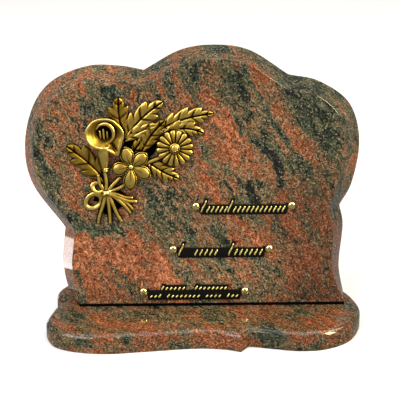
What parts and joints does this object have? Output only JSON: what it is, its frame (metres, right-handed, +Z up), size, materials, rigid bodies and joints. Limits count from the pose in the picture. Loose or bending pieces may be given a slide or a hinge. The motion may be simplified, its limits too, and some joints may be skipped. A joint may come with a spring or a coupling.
{
  "type": "funeral plaque",
  "caption": "Funeral plaque: a three-lobed red granite slab leaning back on a lobed foot, with a cast brass bouquet and nailed inscription bars.",
  "frame": {"origin": "on the underside's plane, under the middle of the plaque's box", "axes": "+X to the viewer's right along the slab, +Y away from the viewer, +Z up"},
  "size_m": [0.3505, 0.1406, 0.2838],
  "materials": {
    "granite": "polished",
    "antique_brass": "patinated",
    "black_lacquer": "satin",
    "polished_brass": "polished"
  },
  "bodies": {
    "root": {"base": "granite", "slab": "granite", "bouquet": "antique_brass", "inscription_bar_upper": "black_lacquer", "inscription_bar_middle": "black_lacquer", "inscription_bar_lower": "black_lacquer", "nail_upper_left": "polished_brass", "nail_upper_right": "polished_brass", "nail_middle_left": "polished_brass", "nail_middle_right": "polished_brass", "nail_lower_left": "polished_brass", "nail_lower_right": "polished_brass"}
  },
  "joints": []
}
